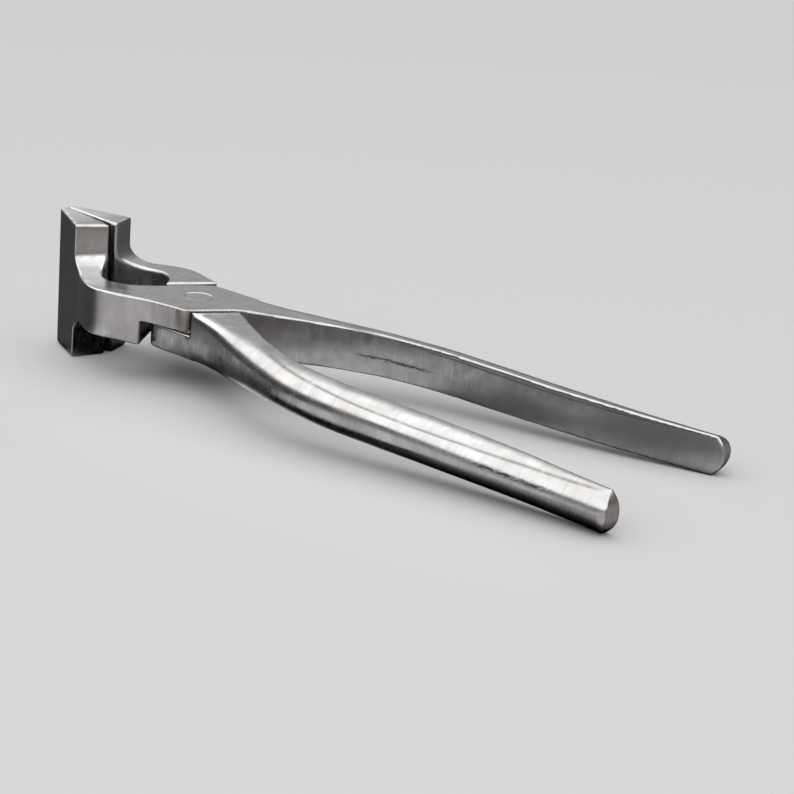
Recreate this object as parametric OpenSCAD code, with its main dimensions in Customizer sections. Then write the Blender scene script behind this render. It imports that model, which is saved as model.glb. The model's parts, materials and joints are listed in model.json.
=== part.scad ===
// Leather flattening pliers: two forged levers with wide T-shaped jaws,
// half-lapped on one flush rivet. The tool lies as it rests on a bench:
// on the jaws' lower corners and the undersides of the handle ends.
// Millimetres, +X towards the handle ends, +Z up, origin under the middle.

/* [Jaws] */
// Width of the gripping faces at the tips, across the tool
jaw_w = 40; // [30:1:44]
// How much each side of a jaw is narrower at its back than at its tip
jaw_taper = 1.2; // [0:0.1:1.5]
// Distance from the rivet to the jaw tips
jaw_reach = 52.7; // [51:0.1:58]
// Length of one gripping face, from the tip to its back
grip_len = 18.8; // [16:0.1:20]
// Thickness of one jaw at its blunt tip
tip_t = 2.7; // [1.5:0.1:4]
// Depth of one jaw at its back, from the middle plane
jaw_depth = 10.4; // [9.4:0.1:11]
// How far the back of a gripping face falls away from the middle plane
grip_relief = 1.2; // [0.3:0.1:1.8]
// Half of the gap that is left between the closed tips
tip_gap = 0.05; // [0.03:0.01:0.2]
// Height of the hollow fillet between a jaw's wing and the neck
fillet_h = 5; // [2:0.5:6]
// Length of that fillet along the neck
fillet_len = 9; // [4:0.5:10]

/* [Joint] */
// Thickness of the forged bar at the joint, both laps together
bar_t = 13; // [12:0.5:14]
// Gap between the two lap faces
lap_gap = 0.1; // [0.04:0.02:0.2]
// Distance from the rivet's axis to the wall of the neck's notch
notch_r = 13.3; // [13:0.1:14]
// Distance from the rivet's axis to the shoulder of the handle
shoulder_r = 14.6; // [14.3:0.1:15]
// Gap between a lap's edge and the wall that it turns before
lap_edge_gap = 2; // [1.5:0.1:2.4]
// Angle of the notch wall and the shoulder from square across the tool
wall_angle = 31; // [29:1:33]
// Radius of the rivet's shank
rivet_r = 2.9; // [2.4:0.1:3.3]
// Radius of the rivet's ground-flush heads
rivet_head_r = 3.7; // [3.5:0.1:4.4]
// Depth of a countersunk rivet head
rivet_head_h = 1.8; // [1:0.1:2.5]
// Radial clearance of the rivet in the lever that turns on it
running_gap = 0.05; // [0.02:0.01:0.1]

/* [Handles] */
// Distance from the rivet to the handle ends
handle_reach = 145; // [140:1:160]
// Width of a handle's flat inner face, at the middle of the grip
grip_w = 10.8; // [10:0.1:12]
// Depth of a handle at the middle of the grip
grip_d = 8.1; // [7:0.1:9]
// Distance between the inner faces at the middle of the grips
grip_span = 40.6; // [38:0.2:46]
// Length of the rounded end of a handle
end_bulge = 2.7; // [1.5:0.1:4]

/* [Hidden] */
steel = [0.66, 0.66, 0.67];
rivet_steel = [0.6, 0.6, 0.61];
$fn = 64;
// Steps along each curve, round a handle's section and along a handle
curve_steps = 12;
section_steps = 24;
handle_steps = 40;
end_steps = 5;

// How far a jaw's blunt tip and its back lean forward, from the gripping face
// to the outer side
tip_lean = 0.2;
back_lean = 3.8;

// Corners of one jaw in plan; the front lever's jaw lies at -Y
grip_tip = [-jaw_reach, -tip_gap];
jaw_tip = [-jaw_reach - tip_lean, -tip_t];
grip_back = [grip_len - jaw_reach, -grip_relief];
jaw_back = [grip_back.x - back_lean, -jaw_depth];
bevel = (jaw_back - jaw_tip) / norm(jaw_back - jaw_tip);
rear_dir = (grip_back - jaw_back) / norm(grip_back - jaw_back);
rear_out = [rear_dir.y, -rear_dir.x];

// Unit vectors square to the shoulder and along it, along the two lap edges,
// and square to the notch wall and those edges
shoulder_out = [cos(wall_angle), sin(wall_angle)];
shoulder_up = [-sin(wall_angle), cos(wall_angle)];
edge_up = [sin(wall_angle), cos(wall_angle)];
notch_out = [-cos(wall_angle), -sin(wall_angle)];
front_edge_out = [cos(wall_angle), -sin(wall_angle)];
throat_edge_out = [-cos(wall_angle), sin(wall_angle)];
lap_front_r = shoulder_r - lap_edge_gap;
lap_throat_r = notch_r - lap_edge_gap;

// Heights across the tool at which the bar's outline leaves those walls
crotch_y = -0.6;
shoulder_in_y = 1;
shoulder_top_y = 12.3;
lap_corner_y = -12.4;
throat_top_y = 8;
throat_low_y = 1.3;
function wall_point(out, r, y) = [(r - out.y * y) / out.x, y];
crotch = wall_point(front_edge_out, lap_front_r, crotch_y);
shoulder_in = wall_point(shoulder_out, shoulder_r, shoulder_in_y);
shoulder_top = wall_point(shoulder_out, shoulder_r, shoulder_top_y);
lap_corner = wall_point(front_edge_out, lap_front_r, lap_corner_y);
throat_top = wall_point(throat_edge_out, lap_throat_r, throat_top_y);
throat_low = wall_point(throat_edge_out, lap_throat_r, throat_low_y);

// Lowest points of the throat and of the neck's belly, where the belly ends,
// and the ends of the lap's straight side away from the jaw
throat_bottom = [-23.6, -9];
belly = [-20.8, -18.3];
belly_end = [-4, -13.7];
lap_side = [-1, 12];
lap_side_end = [8, 12];

// Tangents of the outline's curves: how the throat leaves the gripping face,
// how the belly leaves its end, and lengths along the throat, belly and lap
throat_fall = [1.7, -4];
belly_fall = [-6, -1.5];
throat_pull = 5.5;
belly_pull = 5;
lap_pull = 4;
// Straight run of a jaw's outer bevel behind its back, and radius of the
// lap's front corner
bevel_run = 3.5;
corner_r = 3;

// How far the bar runs into the jaw and into the handle, and how far its end
// there stays inside the handle's sides
jaw_lap = 2;
root_lap = 1.2;
root_inset = 1;
// How far a cutting or joining shape runs past the faces that it meets
margin = 1;

// Handle stations: distance from the rivet as a share of the handle's run,
// offset of the inner face, its width and the depth as shares of the grip's,
// and the fullness of the rounded side (2 is an ellipse, more is squarer)
handle_shape = [
    [0.000, 0.05, 1.20, 1.625, 16],
    [0.060, 0.27, 1.15, 1.300, 9.0],
    [0.132, 0.52, 1.11, 1.125, 5.0],
    [0.212, 0.745, 1.08, 1.01, 3.4],
    [0.300, 0.905, 1.05, 1.00, 2.7],
    [0.410, 0.985, 1.03, 1.00, 2.6],
    [0.540, 1.00, 1.00, 1.00, 2.6],
    [0.680, 1.01, 0.96, 0.97, 2.5],
    [0.840, 1.07, 0.93, 0.86, 2.3],
    [1.000, 1.18, 0.90, 0.66, 2.2]
];
handle_run = handle_reach - end_bulge - shoulder_in.x;
handle_stations = [for (s = handle_shape) [
    shoulder_in.x + s[0] * handle_run,
    s[1] * grip_span / 2,
    s[2] * grip_w,
    s[3] * grip_d,
    s[4]
]];
last_station = handle_stations[len(handle_stations) - 1];
end_half_w = last_station[2] / 2;
// The handle's end: radius of its rounding as seen from the inner face, how
// much of the rounding is drawn before the flat that closes it, and how much
// of the depth is lost over it
end_r = (end_half_w ^ 2 + end_bulge ^ 2) / (2 * end_bulge);
end_share = 0.97;
end_trim = 0.12;

// The tool tips by lay_angle about Y to lie on its jaws and handle ends
jaw_back_half = jaw_w / 2 - jaw_taper;
lay_angle = atan((jaw_back_half - end_half_w) / (last_station.x - grip_back.x));
low_z = jaw_back_half * cos(lay_angle) + grip_back.x * sin(lay_angle);
left_x = jaw_tip.x * cos(lay_angle) - jaw_w / 2 * sin(lay_angle);
right_x = handle_reach * cos(lay_angle);

// Cubic Bezier curve from a to d, without its first point
function curve(a, b, c, d) = [for (i = [1:curve_steps]) let (t = i / curve_steps)
    (1 - t) ^ 3 * a + 3 * t * (1 - t) ^ 2 * b + 3 * t ^ 2 * (1 - t) * c + t ^ 3 * d];

// Smooth path through the rows of a list; u runs from 0 to its last index
function row(p, i) = p[max(0, min(len(p) - 1, i))];
function along(p, u) = let (
    i = min(floor(u), len(p) - 2),
    t = u - i,
    a = row(p, i - 1), b = row(p, i), c = row(p, i + 1), d = row(p, i + 2),
    m = (c - a) / 2, n = (d - b) / 2
) (2 * t ^ 3 - 3 * t ^ 2 + 1) * b + (t ^ 3 - 2 * t ^ 2 + t) * m
    + (3 * t ^ 2 - 2 * t ^ 3) * c + (t ^ 3 - t ^ 2) * n;

// One ring round the handle: a flat inner face and a rounded outer side
function ring(s, angle, half) = [for (k = [0:section_steps]) let (
    a = 180 * k / section_steps,
    side = sign(cos(a)) * abs(cos(a)) ^ (2 / s[4]),
    z = s[2] / 2 * side,
    v = s[3] * abs(sin(a)) ^ (2 / s[4])
) [s.x - sin(angle) * v, s.y + cos(angle) * v, max(-half, min(half, z))]];

function heading(u) = let (
    step = 0.05,
    a = along(handle_stations, max(0, u - step)),
    b = along(handle_stations, min(len(handle_stations) - 1, u + step))
) atan2(b.y - a.y, b.x - a.x);

// The root ring lies parallel to the shoulder, and the rest square to the path
function ring_angle(u) = u < 1 ? wall_angle * (1 - u) + heading(u) * u : heading(u);

module on_bench() {
    translate([-(left_x + right_x) / 2, 0, low_z]) rotate([0, lay_angle, 0]) children();
}

// Neck, lap and the root of the handle, as one outline of the bar
function bar_outline() = concat(
    [jaw_back - jaw_lap * rear_out + rear_dir, grip_back - jaw_lap * rear_out - rear_dir, grip_back],
    curve(grip_back, grip_back + throat_fall, throat_bottom - [throat_pull, 0], throat_bottom),
    curve(throat_bottom, throat_bottom + [throat_pull, 0], throat_low - throat_pull * edge_up, throat_low),
    [throat_top],
    curve(throat_top, throat_top + lap_pull * edge_up, lap_side - [lap_pull, 0], lap_side),
    [lap_side_end, shoulder_top],
    [shoulder_top - root_inset * shoulder_up + root_lap * shoulder_out],
    [shoulder_in + root_inset * shoulder_up + root_lap * shoulder_out, shoulder_in, crotch],
    [lap_corner + corner_r * edge_up],
    curve(lap_corner + corner_r * edge_up, lap_corner, lap_corner, lap_corner - [corner_r, 0]),
    [belly_end],
    curve(belly_end, belly_end + belly_fall, belly + [belly_pull, 0], belly),
    curve(belly, belly - [belly_pull, 0], jaw_back + 2 * bevel_run * bevel, jaw_back + bevel_run * bevel),
    [jaw_back]
);

module bar() {
    linear_extrude(bar_t, center = true) polygon(bar_outline());
}

// The jaw's plan, cut to the wings' taper as seen from the side
module jaw() {
    tip_x = jaw_tip.x;
    half = jaw_w / 2;
    intersection() {
        linear_extrude(jaw_w, center = true) polygon([grip_tip, jaw_tip, jaw_back, grip_back]);
        translate([0, margin, 0]) rotate([90, 0, 0]) linear_extrude(jaw_depth + 2 * margin) polygon([
            [tip_x, -half], [grip_back.x, -jaw_back_half], [grip_back.x, jaw_back_half], [tip_x, half]
        ]);
    }
}

// Hollow fillets that blend both wings of the jaw into the neck
module wing_fillets() {
    length = norm(grip_back - jaw_back);
    base = bar_t / 2;
    hollow = [for (i = [0:curve_steps]) let (a = 90 * i / curve_steps)
        [fillet_len * (1 - sin(a)), base + fillet_h * (1 - cos(a))]];
    buried = [[-margin, base + fillet_h], [-margin, base - margin], [fillet_len, base - margin]];
    intersection() {
        linear_extrude(2 * (base + fillet_h), center = true) polygon(bar_outline());
        for (side = [-1, 1])
            multmatrix([
                [rear_out.x, 0, -rear_dir.x, grip_back.x],
                [rear_out.y, 0, -rear_dir.y, grip_back.y],
                [0, side, 0, 0],
                [0, 0, 0, 1]
            ])
                linear_extrude(length) polygon(concat(hollow, buried));
    }
}

// Everything between the notch wall and the shoulder, on the far side
module half_lap() {
    reach = jaw_w;
    translate([0, 0, -bar_t]) linear_extrude(bar_t + lap_gap / 2) polygon([
        notch_r * notch_out - reach * shoulder_up,
        shoulder_r * shoulder_out - reach * shoulder_up,
        shoulder_r * shoulder_out + reach * shoulder_up,
        notch_r * notch_out + reach * shoulder_up
    ]);
}

module handle() {
    last = len(handle_stations) - 1;
    shaft_rings = [for (i = [0:handle_steps]) let (u = last * i / handle_steps)
        ring(along(handle_stations, u), ring_angle(u), bar_t)];
    end_angle = ring_angle(last);
    end_dir = [cos(end_angle), sin(end_angle)];
    end_rings = [for (i = [1:end_steps]) let (
        run = end_bulge * end_share * i / end_steps,
        half = sqrt(end_r ^ 2 - (end_r - end_bulge + run) ^ 2),
        depth = last_station[3] * (1 - end_trim * (i / end_steps) ^ 2),
        place = [last_station.x, last_station.y] + run * end_dir
    ) ring([place.x, place.y, last_station[2], depth, last_station[4]], end_angle, half)];
    rings = concat(shaft_rings, end_rings);
    n = section_steps + 1;
    last_ring = len(rings) - 1;
    sides = [for (i = [0:last_ring - 1], k = [0:n - 1]) let (
        a = i * n + k, b = i * n + (k + 1) % n, c = b + n, d = a + n
    ) each [[a, b, c], [a, c, d]]];
    polyhedron(
        points = [for (r = rings) each r],
        faces = concat(sides, [[for (k = [n - 1:-1:0]) k], [for (k = [0:n - 1]) last_ring * n + k]])
    );
}

// Shank with a countersunk head at each end, all flush with the bar
module rivet(gap = 0, over = 0) {
    r = rivet_r + gap;
    head = rivet_head_r + gap;
    z = bar_t / 2;
    slope = (rivet_head_r - rivet_r) / rivet_head_h;
    rotate_extrude() polygon([
        [0, -z - over], [head + slope * over, -z - over], [r, rivet_head_h - z],
        [r, z - rivet_head_h], [head + slope * over, z + over], [0, z + over]
    ]);
}

// One lever with its jaw at -Y and its handle at +Y, lapping over the rivet
module lever(rivet_gap) {
    difference() {
        union() {
            bar();
            jaw();
            wing_fillets();
            handle();
        }
        half_lap();
        rivet(rivet_gap, margin);
    }
}

module front_lever() {
    color(steel) on_bench() lever(0);
}

// The same forging turned over about the tool's length
module rear_lever() {
    color(steel) on_bench() rotate([180, 0, 0]) lever(running_gap);
}

module pivot_rivet() {
    color(rivet_steel) on_bench() rivet();
}

front_lever();
rear_lever();
pivot_rivet();
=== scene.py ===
import json
import math
import bpy
from mathutils import Matrix, Vector


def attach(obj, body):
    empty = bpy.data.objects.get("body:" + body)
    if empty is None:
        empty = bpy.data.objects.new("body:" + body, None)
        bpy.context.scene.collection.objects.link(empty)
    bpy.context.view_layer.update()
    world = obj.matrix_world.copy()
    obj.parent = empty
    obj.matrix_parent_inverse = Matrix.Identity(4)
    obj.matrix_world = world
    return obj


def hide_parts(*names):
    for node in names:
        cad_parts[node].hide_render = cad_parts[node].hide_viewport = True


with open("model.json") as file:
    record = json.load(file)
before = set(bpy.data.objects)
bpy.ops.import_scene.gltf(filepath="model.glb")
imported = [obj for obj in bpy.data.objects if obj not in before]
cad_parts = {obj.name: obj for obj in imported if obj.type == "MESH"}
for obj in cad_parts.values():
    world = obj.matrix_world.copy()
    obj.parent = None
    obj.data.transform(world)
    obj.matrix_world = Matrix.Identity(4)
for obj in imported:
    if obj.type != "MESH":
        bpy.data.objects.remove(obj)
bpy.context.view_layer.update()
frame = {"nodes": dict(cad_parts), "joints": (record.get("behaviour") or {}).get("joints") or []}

print("stage 1: the CAD frame is loaded")

mm = 0.001
mergeWithin = 0.001 * mm  # points closer than this become one
flatEnd = 0.9  # a stem's flat end is where the normal reaches this far along z
black = (0, 0, 0, 1)
white = (1, 1, 1, 1)

# the joint gives the tool's own axes: x along it from the rivet, z along the rivet
joint = frame["joints"][0]
pivot = Vector(joint["pos_m"])
layAngle = math.asin(-joint["axis"][0])
toolToRoom = Matrix.Translation(pivot) @ Matrix.Rotation(layAngle, 4, "Y")
roomToTool = toolToRoom.inverted()
turnedOver = Matrix.Rotation(math.pi, 4, "X")  # the rear lever is the front one turned over


def leverAxes(turned):
    # takes a place in the room to the lever's own axes
    return turnedOver @ roomToTool if turned else roomToTool


def deselectAll():
    if bpy.context.object and bpy.context.object.mode != "OBJECT":
        bpy.ops.object.mode_set(mode="OBJECT")
    bpy.ops.object.select_all(action="DESELECT")


def choose(piece):
    deselectAll()
    piece.select_set(True)
    bpy.context.view_layer.objects.active = piece


def selectFaces(piece, test):
    # leaves edit mode on, with only the faces that pass the test selected
    choose(piece)
    bpy.ops.object.mode_set(mode="EDIT")
    bpy.ops.mesh.select_mode(type="FACE")
    bpy.ops.mesh.select_all(action="DESELECT")
    bpy.ops.object.mode_set(mode="OBJECT")
    for face in piece.data.polygons:
        face.select = test(face)
    bpy.ops.object.mode_set(mode="EDIT")


def addModifier(piece, kind, settings):
    modifier = piece.modifiers.new(kind.lower(), kind)
    for key, value in settings.items():
        setattr(modifier, key, value)
    choose(piece)
    bpy.ops.object.modifier_apply(modifier=modifier.name)


def copyOfNode(nodeName, pieceName):
    mesh = frame["nodes"][nodeName].data.copy()
    mesh.materials.clear()
    piece = bpy.data.objects.new(pieceName, mesh)
    bpy.context.scene.collection.objects.link(piece)
    choose(piece)
    bpy.ops.object.mode_set(mode="EDIT")
    bpy.ops.mesh.select_all(action="SELECT")
    bpy.ops.mesh.remove_doubles(threshold=mergeWithin)
    bpy.ops.object.mode_set(mode="OBJECT")
    return piece


# camera in the tool's own axes, at the angle of the photograph's lower view; angles in degrees
cameraSet = {
    "azimuth": 35.55,
    "elevation": 19.07,
    "roll": 6.18,
    "distance": 408.1 * mm,
    "aim": (48.3 * mm, 28.5 * mm, -14.1 * mm),
    "lens": 68.66,
    "sensor": 36,
    "clipStart": 10 * mm,
}


def addCamera():
    azimuth = math.radians(cameraSet["azimuth"])
    elevation = math.radians(cameraSet["elevation"])
    level = math.cos(elevation)
    back = Vector((math.sin(azimuth) * level, -math.cos(azimuth) * level, math.sin(elevation)))
    data = bpy.data.cameras.new("camera")
    data.lens = cameraSet["lens"]
    data.sensor_width = cameraSet["sensor"]
    data.clip_start = cameraSet["clipStart"]
    camera = bpy.data.objects.new("camera", data)
    bpy.context.scene.collection.objects.link(camera)
    turn = back.to_track_quat("Z", "Y").to_matrix().to_4x4()
    turn = turn @ Matrix.Rotation(math.radians(cameraSet["roll"]), 4, "Z")
    place = Vector(cameraSet["aim"]) + back * cameraSet["distance"]
    camera.matrix_world = toolToRoom @ Matrix.Translation(place) @ turn
    bpy.context.scene.camera = camera


addCamera()
print("stage 2: camera")


class Socket:
    # wraps a node's output, so that shader maths reads as arithmetic
    def __init__(self, tree, link):
        self.tree = tree
        self.link = link

    def node(self, kind, settings, values, output=0):
        return addNode(self.tree, kind, settings, values, output)

    def maths(self, operation, *values, clamp=False):
        settings = {"operation": operation, "use_clamp": clamp}
        return self.node("ShaderNodeMath", settings, dict(enumerate(values)))

    def __add__(self, other):
        return self.maths("ADD", self, other)

    def __radd__(self, other):
        return self.maths("ADD", other, self)

    def __sub__(self, other):
        return self.maths("SUBTRACT", self, other)

    def __rsub__(self, other):
        return self.maths("SUBTRACT", other, self)

    def __mul__(self, other):
        return self.maths("MULTIPLY", self, other)

    def __rmul__(self, other):
        return self.maths("MULTIPLY", other, self)

    def between(self, low, high):
        # 0 below low, 1 above high, and a smooth step between them
        settings = {"interpolation_type": "SMOOTHSTEP"}
        return self.node("ShaderNodeMapRange", settings, {0: self, 1: low, 2: high, 3: 0, 4: 1})

    def near(self, place, width):
        # 1 at place, falling to 0 at width from it
        return 1 - self.maths("ABSOLUTE", self - place).between(0, width)

    def swing(self):
        # a noise's rise and fall about its middle
        return self - 0.5

    def clamped(self):
        return self.maths("ADD", self, 0, clamp=True)

    def parts(self):
        return [self.node("ShaderNodeSeparateXYZ", {}, {0: self}, output) for output in range(3)]


def addNode(tree, kind, settings, values, output=0):
    made = tree.nodes.new(kind)
    for key, value in settings.items():
        setattr(made, key, value)
    for key, value in values.items():
        if isinstance(value, Socket):
            tree.links.new(value.link, made.inputs[key])
        else:
            made.inputs[key].default_value = value
    return Socket(tree, made.outputs[output])


def mixColours(mask, first, second):
    return mask.node("ShaderNodeMix", {"data_type": "RGBA"}, {0: mask, 6: first, 7: second}, 2)


def stretched(place, scales):
    return place.node("ShaderNodeVectorMath", {"operation": "MULTIPLY"}, {0: place, 1: scales})


def noise(place, scale, detail, roughness):
    values = {"Vector": place, "Scale": scale, "Detail": detail, "Roughness": roughness}
    return place.node("ShaderNodeTexNoise", {}, values)


def distanceTo(place, spot):
    gap = place.node("ShaderNodeVectorMath", {"operation": "SUBTRACT"}, {0: place, 1: spot})
    return gap.node("ShaderNodeVectorMath", {"operation": "LENGTH"}, {0: gap}, 1)


def newMaterial(name):
    material = bpy.data.materials.new(name)
    material.use_nodes = True
    return material


def feed(material, name, value):
    shader = material.node_tree.nodes["Principled BSDF"]
    if isinstance(value, Socket):
        material.node_tree.links.new(value.link, shader.inputs[name])
    else:
        shader.inputs[name].default_value = value


def leverPlace(tree, turned):
    # object coordinates turned and moved into the lever's own axes, in millimetres
    turn = leverAxes(turned)
    coordinates = addNode(tree, "ShaderNodeTexCoord", {}, {}, "Object")
    placed = addNode(
        tree,
        "ShaderNodeMapping",
        {"vector_type": "POINT"},
        {"Vector": coordinates, "Location": turn.to_translation(), "Rotation": turn.to_euler("XYZ")},
    )
    return stretched(placed, (1 / mm, 1 / mm, 1 / mm))


# satin ground steel; places and widths are in millimetres in the lever's own axes
# a noise is given by its scale, detail and roughness; edges are where a mask begins and where it is full
steelSet = {
    "colour": (0.64, 0.64, 0.645, 1),
    "warmColour": (0.60, 0.578, 0.55, 1),
    "darkColour": (0.40, 0.395, 0.385, 1),
    "stainColour": (0.20, 0.125, 0.085, 1),
    "flawColour": (0.045, 0.04, 0.036, 1),
    "roughness": 0.23,
    "lineNoise": (1, 5, 0.72),
    "lineStretch": (1.6, 0.14, 0.14),  # grinding lines lie across the lever
    "lineDepth": 0.030 * mm,
    "lineFine": 0.35,  # their strength at the jaws, and what the coarser handles add to it
    "lineCoarse": 0.85,
    "coarseEdges": (15, 35),
    "grainNoise": (3.2, 3, 0.6),
    "grainDepth": 0.002 * mm,
    "cloudNoise": (0.3, 1, 0.5),
    "cloudDepth": 0.02 * mm,
    "patchNoise": (0.11, 3, 0.55),
    "warmNoise": (0.045, 2, 0.5),
    "warmEdges": (0.42, 0.62),
    "warmShare": 0.7,
    "tone": 0.24,  # how far the steel leans to its dark colour, and what sways that
    "tonePatches": 1.1,
    "toneClouds": 0.6,
    "toneLines": 0.9,
    "roughPatches": 0.12,
    "roughClouds": 0.25,
    "roughLines": 0.25,
    "endEdges": (18.9, 19.5),  # the jaws' end faces are ground paler and duller from this height on
    "endPaler": 0.30,
    "endDuller": 0.13,
    "brownSpot": (8.0, -11.0, 2.8),  # a stain at the lap's corner
    "brownEdges": (1.5, 5.0),
    "wobbleNoise": (0.09, 2, 0.5),  # how a flaw's line wanders up and down
    "wobble": 0.9,
    "flawDark": 0.9,
    "flawDepth": 0.02 * mm,
    "flawDuller": 0.3,
}

# flaws that forging and grinding left: each runs along x from start to end, at its height on z
lineFade = {"in": 8, "out": 6}
outerEdges = (12, 16)  # how far out on y the handle's rounded side lies
seamSet = {
    "start": 27,
    "end": 143,
    "height": 3.75,
    "width": 0.34,
    "middle": 103,  # where the seam is lowest, and how fast it rises from there
    "bow": 0.00053,
    "wander": 0.25,
    "breakNoise": (0.35, 3, 0.6),
    "breakEdges": (0.05, 0.50),
}
pitSet = {
    "start": 106,
    "end": 132,
    "height": -1.35,
    "width": 0.62,
    "wander": 0.6,
    "speckNoise": (1, 4, 0.7),
    "speckStretch": (0.7, 2.4, 2.4),
    "speckSway": 1.6,
    "speckEdges": (0.36, 0.46),
}
crackSet = {
    "start": 40,
    "end": 66,
    "height": -0.72,
    "width": 0.40,
    "wander": 0.5,
    "ragNoise": (1, 4, 0.7),
    "ragStretch": (0.8, 2, 2),
    "ragSway": 2.2,
    "ragEdges": (0.30, 0.44),
    "stainWidth": 1.3,
    "stainEdges": (0.40, 0.60),
    "stainShare": 0.5,
    "innerEdges": (16.5, 17.5),  # where the inner face ends on y, and how that moves out along x
    "innerSlope": 0.22,
}


def lineMask(x, height, line, width):
    # a line along the lever that fades out at both ends
    begun = x.between(line["start"], line["start"] + lineFade["in"])
    ended = x.between(line["end"] - lineFade["out"], line["end"])
    return begun * (1 - ended) * height.near(line["height"], width)


def seamMark(place, wobble, strength):
    # the sign of the strength is the side of the lever that the seam runs on
    x, y, z = place.parts()
    side = 1 if strength > 0 else -1
    away = x - seamSet["middle"]
    bowed = z * side - away * away * seamSet["bow"]
    broken = noise(place, *seamSet["breakNoise"]).between(*seamSet["breakEdges"])
    line = lineMask(x, bowed + wobble * seamSet["wander"], seamSet, seamSet["width"])
    return line * broken * abs(strength) * y.between(*outerEdges)


def pitMark(place, wobble, strength):
    x, y, z = place.parts()
    speck = noise(stretched(place, pitSet["speckStretch"]), *pitSet["speckNoise"])
    sway = wobble * pitSet["wander"] + speck.swing() * pitSet["speckSway"]
    rows = lineMask(x, z + sway, pitSet, pitSet["width"]) * speck.between(*pitSet["speckEdges"])
    return rows * strength * y.between(*outerEdges)


def crackMarks(place, wobble, strength):
    # the crack itself, and the brown stain along its edge
    x, y, z = place.parts()
    inner = 1 - (y - (x - crackSet["start"]) * crackSet["innerSlope"]).between(*crackSet["innerEdges"])
    ragged = noise(stretched(place, crackSet["ragStretch"]), *crackSet["ragNoise"])
    sway = wobble * crackSet["wander"] + ragged.swing() * crackSet["ragSway"]
    line = lineMask(x, z + sway, crackSet, crackSet["width"]) * inner * ragged.between(*crackSet["ragEdges"])
    stain = lineMask(x, z + sway, crackSet, crackSet["stainWidth"]) * inner
    return line * strength, stain * ragged.between(*crackSet["stainEdges"])


def makeSteel(name, turned, seam=0, pits=0, crack=0, brown=0):
    # the last four are how strong each mark on the steel is
    values = steelSet
    material = newMaterial(name)
    place = leverPlace(material.node_tree, turned)
    x, _, z = place.parts()
    lines = noise(stretched(place, values["lineStretch"]), *values["lineNoise"])
    grain = noise(place, *values["grainNoise"])
    clouds = noise(place, *values["cloudNoise"])
    patches = noise(place, *values["patchNoise"])
    warmth = noise(place, *values["warmNoise"]).between(*values["warmEdges"])
    coarse = values["lineFine"] + x.between(*values["coarseEdges"]) * values["lineCoarse"]
    ends = z.maths("ABSOLUTE", z).between(*values["endEdges"])

    tone = patches.swing() * values["tonePatches"] + clouds.swing() * values["toneClouds"]
    tone = tone + lines.swing() * values["toneLines"] + values["tone"] - ends * values["endPaler"]
    colour = mixColours(warmth * values["warmShare"], values["colour"], values["warmColour"])
    colour = mixColours(tone.clamped(), colour, values["darkColour"])
    height = lines * coarse * values["lineDepth"]
    height = height + grain * values["grainDepth"] + clouds * values["cloudDepth"]
    rough = values["roughness"] + lines.swing() * values["roughLines"]
    rough = rough + clouds.swing() * values["roughClouds"] + patches.swing() * values["roughPatches"]
    rough = rough + ends * values["endDuller"]

    wobble = noise(place, *values["wobbleNoise"]).swing() * values["wobble"]
    marks = []
    if seam:
        marks.append(seamMark(place, wobble, seam))
    if pits:
        marks.append(pitMark(place, wobble, pits))
    if crack:
        line, stain = crackMarks(place, wobble, crack)
        colour = mixColours(stain * crackSet["stainShare"], colour, values["stainColour"])
        marks.append(line)
    if marks:
        flaws = sum(marks).clamped()
        colour = mixColours(flaws * values["flawDark"], colour, values["flawColour"])
        height = height - flaws * values["flawDepth"]
        rough = rough + flaws * values["flawDuller"]
    if brown:
        tint = (1 - distanceTo(place, values["brownSpot"]).between(*values["brownEdges"])) * brown
        colour = mixColours(tint, colour, values["stainColour"])

    feed(material, "Base Color", colour)
    feed(material, "Metallic", 1.0)
    feed(material, "Roughness", rough)
    # the heights are real ones in metres, so the bump's own distance is 1
    bump = height.node("ShaderNodeBump", {}, {"Strength": 1.0, "Distance": 1.0, "Height": height})
    feed(material, "Normal", bump)
    return material


# the joint's height and the head's radius are read from the rivet's own solid
rivetPoints = [roomToTool @ vertex.co for vertex in frame["nodes"]["pivot_rivet"].data.vertices]
rivetHalf = max(point.z for point in rivetPoints)
headRadius = max(math.hypot(point.x, point.y) for point in rivetPoints)
rivetSet = {
    "shankRadius": 2.9 * mm,
    "headDepth": 1.8 * mm,
    "sides": 96,
    "edge": 0.10 * mm,  # bevel round the head
    "gap": 0.02 * mm,  # between the head and its seat
    "sunk": 0.07 * mm,  # how far the head lies below the lap
    "rimWidth": 0.24 * mm,  # broken edge round the seat
    "rimDepth": 0.14 * mm,
    "runGap": 0.05 * mm,  # between the rivet and the lever that turns on it
    "lapLow": 0.05 * mm,  # the lap's inner face, above the middle of the joint
    "plugRadius": 5.2 * mm,
    "cutOver": 0.3 * mm,  # how far the cutters reach past the metal
    "cutUnder": 2 * mm,
    "rimUnder": 0.01 * mm,
    "smoothBelow": 30,  # edges under this angle are shaded smooth, in degrees
}


def roundStem(radius, low, high):
    deselectAll()
    bpy.ops.mesh.primitive_cylinder_add(
        vertices=rivetSet["sides"],
        radius=radius,
        depth=high - low,
        location=(0, 0, (high + low) / 2),
    )
    bpy.ops.object.transform_apply(location=True, rotation=True, scale=True)
    return bpy.context.object


def countersunkStem(name, radius, low, high, topDepth, topRadius):
    # a round stem along z whose top end opens into a countersunk head
    stem = roundStem(radius, low, high - topDepth)
    stem.name = name
    selectFaces(stem, lambda face: face.normal.z > flatEnd)
    bpy.ops.mesh.extrude_region_move(TRANSFORM_OT_translate={"value": (0, 0, topDepth)})
    grow = topRadius / radius
    bpy.ops.transform.resize(value=(grow, grow, 1))
    bpy.ops.object.mode_set(mode="OBJECT")
    return stem


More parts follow.
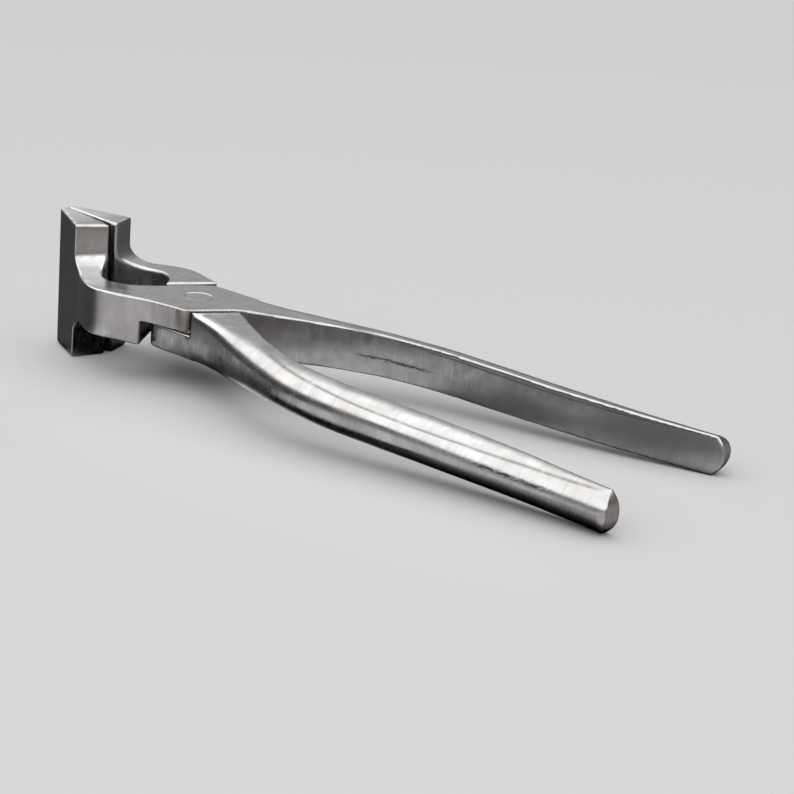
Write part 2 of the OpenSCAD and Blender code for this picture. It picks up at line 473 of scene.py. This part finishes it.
leverSet = {
    "voxel": 0.24 * mm,
    "smoothSteps": 12,
    "smoothFactor": 0.5,
    "wingSteps": 40,  # neck and wings are rounded more, from the first x on and in full from the second
    "wingStart": -4 * mm,
    "wingFull": -13 * mm,
    "gripFrom": (-52.7 * mm, -0.05 * mm),  # the gripping face in plan, whose edges stay sharp
    "gripTo": (-33.9 * mm, -1.2 * mm),
    "gripNear": 0.3 * mm,  # nothing is rounded more up to this depth behind it, and all from the next
    "gripFar": 2.2 * mm,
    "creases": [  # ground over on the lever's sides: x, y and the lowest height
        (-21.5 * mm, -18.2 * mm, -10 * mm),
        (9.3 * mm, 12.2 * mm, 0.8 * mm),
    ],
    "creaseReach": 8 * mm,
    "creaseRise": 1.5 * mm,
    "creaseSteps": 220,
    "creaseLevel": 0.12,  # how far a face may lean from upright to be ground in full, and at all
    "creaseLean": 0.4,
    "kept": 0.47,  # share of the triangles kept; the flats lose the most
    "waveSize": 13 * mm,
    "waveDepth": 0.20 * mm,
    "waveDetail": 1,
    "waveMiddle": 0.5,
    "waveStart": 20 * mm,
    "waveFull": 42 * mm,
    "smoothBelow": 60,  # edges under this angle are shaded smooth, in degrees
}


def shareOf(value, start, full):
    # 0 up to start, 1 from full on
    return min(1, max(0, (value - start) / (full - start)))


def groupAlong(piece, name, start, full):
    # a vertex group that grows along the lever, from nothing at start to all of it at full
    group = piece.vertex_groups.new(name=name)
    for vertex in piece.data.vertices:
        share = shareOf(vertex.co.x, start, full)
        if share > 0:
            group.add([vertex.index], share, "REPLACE")
    return group


def smoothGroup(piece, group, steps):
    settings = {"iterations": steps, "factor": leverSet["smoothFactor"], "vertex_group": group.name}
    addModifier(piece, "SMOOTH", settings)
    piece.vertex_groups.clear()


def fillBore(piece):
    # the bore is filled while the edges are softened, and cut again sharp
    roundStem(rivetSet["plugRadius"], rivetSet["lapLow"], rivetHalf)
    piece.select_set(True)
    bpy.context.view_layer.objects.active = piece
    bpy.ops.object.join()


def softenWing(piece):
    group = groupAlong(piece, "wing", leverSet["wingStart"], leverSet["wingFull"])
    start = Vector(leverSet["gripFrom"])
    run = Vector(leverSet["gripTo"]) - start
    across = Vector((run.y, -run.x)).normalized()
    # the rule for the gripping face ends short of the throat
    for vertex in piece.data.vertices:
        place = vertex.co.to_2d() - start
        depth = place.dot(across)
        if place.x < run.x - leverSet["gripFar"] and depth < leverSet["gripFar"]:
            share = shareOf(depth, leverSet["gripNear"], leverSet["gripFar"])
            group.add([vertex.index], share, "REPLACE")
    smoothGroup(piece, group, leverSet["wingSteps"])


def creaseShare(place):
    # all of it within half the reach of a crease, and fading in over its lowest stretch
    share = 0
    for x, y, low in leverSet["creases"]:
        near = min(1, 2 - 2 * math.hypot(place.x - x, place.y - y) / leverSet["creaseReach"])
        share = max(share, min(near, (place.z - low) / leverSet["creaseRise"]))
    return share


def softenCreases(piece):
    # only upright faces are smoothed here, so the top and bottom edges stay as they are
    group = piece.vertex_groups.new(name="creases")
    for vertex in piece.data.vertices:
        lean = shareOf(abs(vertex.normal.z), leverSet["creaseLevel"], leverSet["creaseLean"])
        if lean < 1:
            share = creaseShare(vertex.co) * (1 - lean)
            if share > 0:
                group.add([vertex.index], share, "REPLACE")
    smoothGroup(piece, group, leverSet["creaseSteps"])


def waveHandle(piece):
    # the slight unevenness of a handle that was forged and ground by hand
    group = groupAlong(piece, "handle", leverSet["waveStart"], leverSet["waveFull"])
    clouds = bpy.data.textures.new("hand_waves", "CLOUDS")
    clouds.noise_scale = leverSet["waveSize"]
    clouds.noise_depth = leverSet["waveDetail"]
    addModifier(
        piece,
        "DISPLACE",
        {
            "texture": clouds,
            "texture_coords": "LOCAL",
            "strength": leverSet["waveDepth"],
            "mid_level": leverSet["waveMiddle"],
            "vertex_group": group.name,
        },
    )
    piece.vertex_groups.clear()


def cutBore(piece, gap):
    # the rivet's hole with its seat, and the broken edge round the seat
    over = rivetSet["cutOver"]
    seatSlope = (headRadius - rivetSet["shankRadius"]) / rivetSet["headDepth"]
    rimSlope = rivetSet["rimWidth"] / rivetSet["rimDepth"]
    boreCutter = countersunkStem(
        "bore_cutter",
        rivetSet["shankRadius"] + gap,
        -rivetSet["cutUnder"],
        rivetHalf + over,
        rivetSet["headDepth"] + over,
        headRadius + gap + seatSlope * over,
    )
    rimCutter = countersunkStem(
        "rim_cutter",
        headRadius,
        rivetHalf - rivetSet["rimDepth"] - rivetSet["rimUnder"],
        rivetHalf + over,
        rivetSet["rimDepth"] + over,
        headRadius + rivetSet["rimWidth"] + rimSlope * over,
    )
    for cutter in (boreCutter, rimCutter):
        addModifier(piece, "BOOLEAN", {"operation": "DIFFERENCE", "object": cutter, "solver": "EXACT"})
        bpy.data.objects.remove(cutter)


def makeLever(nodeName, pieceName, body, turned, gap, flaws):
    toLever = leverAxes(turned)
    piece = copyOfNode(nodeName, pieceName)
    piece.data.transform(toLever)  # the remesh's grid then lies square to the laps
    fillBore(piece)
    remesh = {"mode": "VOXEL", "voxel_size": leverSet["voxel"], "use_smooth_shade": True}
    addModifier(piece, "REMESH", remesh)
    addModifier(piece, "SMOOTH", {"iterations": leverSet["smoothSteps"], "factor": leverSet["smoothFactor"]})
    softenWing(piece)
    softenCreases(piece)
    waveHandle(piece)
    addModifier(piece, "DECIMATE", {"decimate_type": "COLLAPSE", "ratio": leverSet["kept"]})
    cutBore(piece, gap)
    piece.data.transform(toLever.inverted())
    bpy.ops.object.shade_smooth_by_angle(angle=math.radians(leverSet["smoothBelow"]))
    piece.data.materials.append(makeSteel(pieceName + "_steel", turned, **flaws))
    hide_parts(nodeName)
    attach(piece, body)
    print("   ", pieceName, sum(len(face.vertices) - 2 for face in piece.data.polygons), "triangles")


frontFlaws = {"seam": 0.6, "crack": 1.0, "brown": 0.7}
rearFlaws = {"seam": -0.6, "pits": 1.3}
makeLever("front_lever", "front_lever_forging", "front", False, 0, frontFlaws)
makeLever("rear_lever", "rear_lever_forging", "rear", True, rivetSet["runGap"], rearFlaws)
print("stage 3: levers")


def makeRivet():
    # one half is turned and mirrored; its head is ground flush, so only a fine ring shows
    rivet = countersunkStem(
        "flush_rivet",
        rivetSet["shankRadius"],
        0,
        rivetHalf - rivetSet["sunk"],
        rivetSet["headDepth"],
        headRadius - rivetSet["gap"],
    )
    selectFaces(rivet, lambda face: face.normal.z > flatEnd)
    bpy.ops.mesh.bevel(offset=rivetSet["edge"], segments=1, affect="EDGES")
    selectFaces(rivet, lambda face: face.normal.z < -flatEnd)
    bpy.ops.mesh.delete(type="FACE")
    bpy.ops.object.mode_set(mode="OBJECT")
    addModifier(rivet, "MIRROR", {"use_axis": (False, False, True), "merge_threshold": mergeWithin})
    bpy.ops.object.mode_set(mode="EDIT")
    bpy.ops.mesh.select_all(action="SELECT")
    bpy.ops.mesh.normals_make_consistent(inside=False)
    bpy.ops.object.mode_set(mode="OBJECT")
    rivet.data.transform(toolToRoom)
    bpy.ops.object.shade_smooth_by_angle(angle=math.radians(rivetSet["smoothBelow"]))
    rivet.data.materials.append(makeSteel("flush_rivet_steel", False))
    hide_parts("pivot_rivet")
    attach(rivet, "front")


makeRivet()
print("stage 4: rivet")

floorSet = {
    "radius": 12,
    "sides": 96,
    "colour": (0.53, 0.53, 0.532, 1),
    "roughness": 0.7,
    "gloss": 0.1,
    "shadeHeight": 0.05 * mm,
    "shadeReach": 20 * mm,  # how close to the tool the sheet turns dark, a painted shade seen only in the steel
    "shadeEdges": (0.10, 0.55),
    "shadeSamples": 12,
    # painted pools of light and painted shadows on the reflection sheet, in metres: x, y, how much longer
    # than wide, where the place starts to fade and where it ends, and its painted light (0 makes a painted
    # shadow)
    "patches": [
        (-0.085, -0.030, 1.0, 0.008, 0.028, 0.42),
        (-0.068, -0.007, 1.0, 0.010, 0.020, 0.0),
        (-0.069, 0.036, 1.0, 0.010, 0.020, 0.0),
        (-0.004, -0.039, 4.0, 0.010, 0.014, 0.0),
        (-0.004, -0.017, 4.0, 0.005, 0.009, 0.62),
        (0.030, -0.014, 2.2, 0.006, 0.012, 0.30),
        (0.034, 0.004, 2.2, 0.008, 0.012, 0.10),
        (-0.081, -0.051, 1.0, 0.008, 0.018, 0.70),
        (0.030, -0.055, 4.5, 0.014, 0.020, 0.64),
        (0.078, 0.000, 2.0, 0.006, 0.024, 0.15),
    ],
}


def floorDisc(name, height):
    deselectAll()
    bpy.ops.mesh.primitive_circle_add(
        vertices=floorSet["sides"],
        radius=floorSet["radius"],
        fill_type="NGON",
        location=(0, 0, height),
    )
    floor = bpy.context.object
    floor.name = name
    material = newMaterial(name + "_paint")
    floor.data.materials.append(material)
    return floor, material


def makeFloor():
    # the pale floor that the camera sees isn't mirrored in the steel
    floor, paint = floorDisc("floor", 0)
    feed(paint, "Base Color", floorSet["colour"])
    feed(paint, "Roughness", floorSet["roughness"])
    feed(paint, "Specular IOR Level", floorSet["gloss"])
    floor.visible_glossy = False


def makePaintedReflectionFloor():
    # the steel mirrors this sheet, which is seen only in reflections: painted shade near the tool,
    # see-through far from it, with painted light and painted shadows in places
    shade, paint = floorDisc("floor_painted_reflection", floorSet["shadeHeight"])
    tree = paint.node_tree
    reach = {"Distance": floorSet["shadeReach"]}
    # the sheet's darkness near the tool is painted shade, set by how enclosed each point of it is
    openness = addNode(tree, "ShaderNodeAmbientOcclusion", {"samples": floorSet["shadeSamples"]}, reach, 1)
    place = addNode(tree, "ShaderNodeTexCoord", {}, {}, "Object")
    clear = 1 - (1 - openness).between(*floorSet["shadeEdges"])
    light = 0
    # each place is a painted pool of light, or a painted shadow where its light is 0
    for x, y, longer, near, far, strength in floorSet["patches"]:
        away = distanceTo(stretched(place, (1 / longer, 1, 1)), (x / longer, y, 0))
        patch = 1 - away.between(near, far)
        light = light * (1 - patch) + patch * strength
        clear = clear * (1 - patch)
    feed(paint, "Base Color", black)
    feed(paint, "Specular IOR Level", 0)
    # this emission is painted light on the sheet, not a lamp
    feed(paint, "Emission Color", mixColours(light, black, white))
    feed(paint, "Emission Strength", 1)
    feed(paint, "Alpha", 1 - clear)
    shade.visible_camera = False
    shade.visible_diffuse = False
    shade.visible_shadow = False


makeFloor()
makePaintedReflectionFloor()

# the studio round the tool: brightness by direction; z is up, and the camera stands towards x and -y
# a card is a soft light: which way it lies, its brightness, and how squarely a direction has to
# face it to reach its edge and its full light
studioSet = {
    "panel": 1.65,  # the big soft light overhead, and the heights where its edge fades
    "panelEdges": (0.34, 0.54),
    "panelTilt": 0.20,  # the panel reaches lower on the camera's side
    "panelDimmer": 0.25,  # how much dimmer its middle is
    "dimmerEdges": (0.84, 0.97),
    "wall": 0.14,
    "wallEdges": (-0.06, 0.30),
    "ground": 0.06,
    "backdrop": 0.60,  # what the camera itself sees behind the floor
    "coolLight": (0.985, 0.945, 1.0, 1),
    "warmLight": (1.0, 0.925, 0.885, 1),
    "warmSide": {"to": (0.80, 0.55, -0.15), "edges": (0.4, 0.9)},  # on the camera's right
}
wallCard = {"to": (-0.66, 0.66, 0.35), "edges": (0.82, 0.99), "light": 0.28}  # behind the tool
endCard = {"to": (0.90, -0.03, 0.48), "edges": (0.91, 0.98), "light": 0.55}  # beyond the handles
lowCards = [
    {"to": (0.0, -0.96, -0.27), "edges": (0.70, 0.95), "light": 0.52},  # in front, to the camera's left
    {"to": (0.72, -0.60, -0.33), "edges": (0.5, 1.0), "light": 0.14},  # below the camera
    {"to": (0.80, 0.55, -0.15), "edges": (0.5, 1.0), "light": 0.28},  # on the camera's right
]


def towards(direction, card):
    vectors = {0: direction, 1: Vector(card["to"]).normalized()}
    facing = direction.node("ShaderNodeVectorMath", {"operation": "DOT_PRODUCT"}, vectors, 1)
    return facing.between(*card["edges"])


def makeStudio():
    values = studioSet
    world = bpy.data.worlds.new("studio")
    world.use_nodes = True
    tree = world.node_tree
    direction = addNode(tree, "ShaderNodeTexCoord", {}, {}, "Generated")
    _, y, z = direction.parts()
    wall = z.between(*values["wallEdges"])
    panel = (z - y * values["panelTilt"]).between(*values["panelEdges"])
    ground = values["ground"]
    for card in lowCards:
        ground = ground + towards(direction, card) * card["light"]
    wallLight = values["wall"] + towards(direction, wallCard) * wallCard["light"]
    light = ground * (1 - wall) + wall * (1 - panel) * wallLight
    light = light + panel * (values["panel"] - z.between(*values["dimmerEdges"]) * values["panelDimmer"])
    light = light + towards(direction, endCard) * (1 - panel) * endCard["light"]
    seen = addNode(tree, "ShaderNodeLightPath", {}, {}, "Is Camera Ray")
    light = light * (1 - seen) + seen * values["backdrop"]
    tint = mixColours(towards(direction, values["warmSide"]), values["coolLight"], values["warmLight"])
    tint = mixColours(panel.maths("MAXIMUM", panel, seen), tint, white)
    background = tree.nodes["Background"]
    tree.links.new(tint.link, background.inputs["Color"])
    tree.links.new(light.link, background.inputs["Strength"])
    bpy.context.scene.world = world
    bpy.context.scene.view_settings.view_transform = "Standard"


makeStudio()
print("stage 5: floor and studio light")
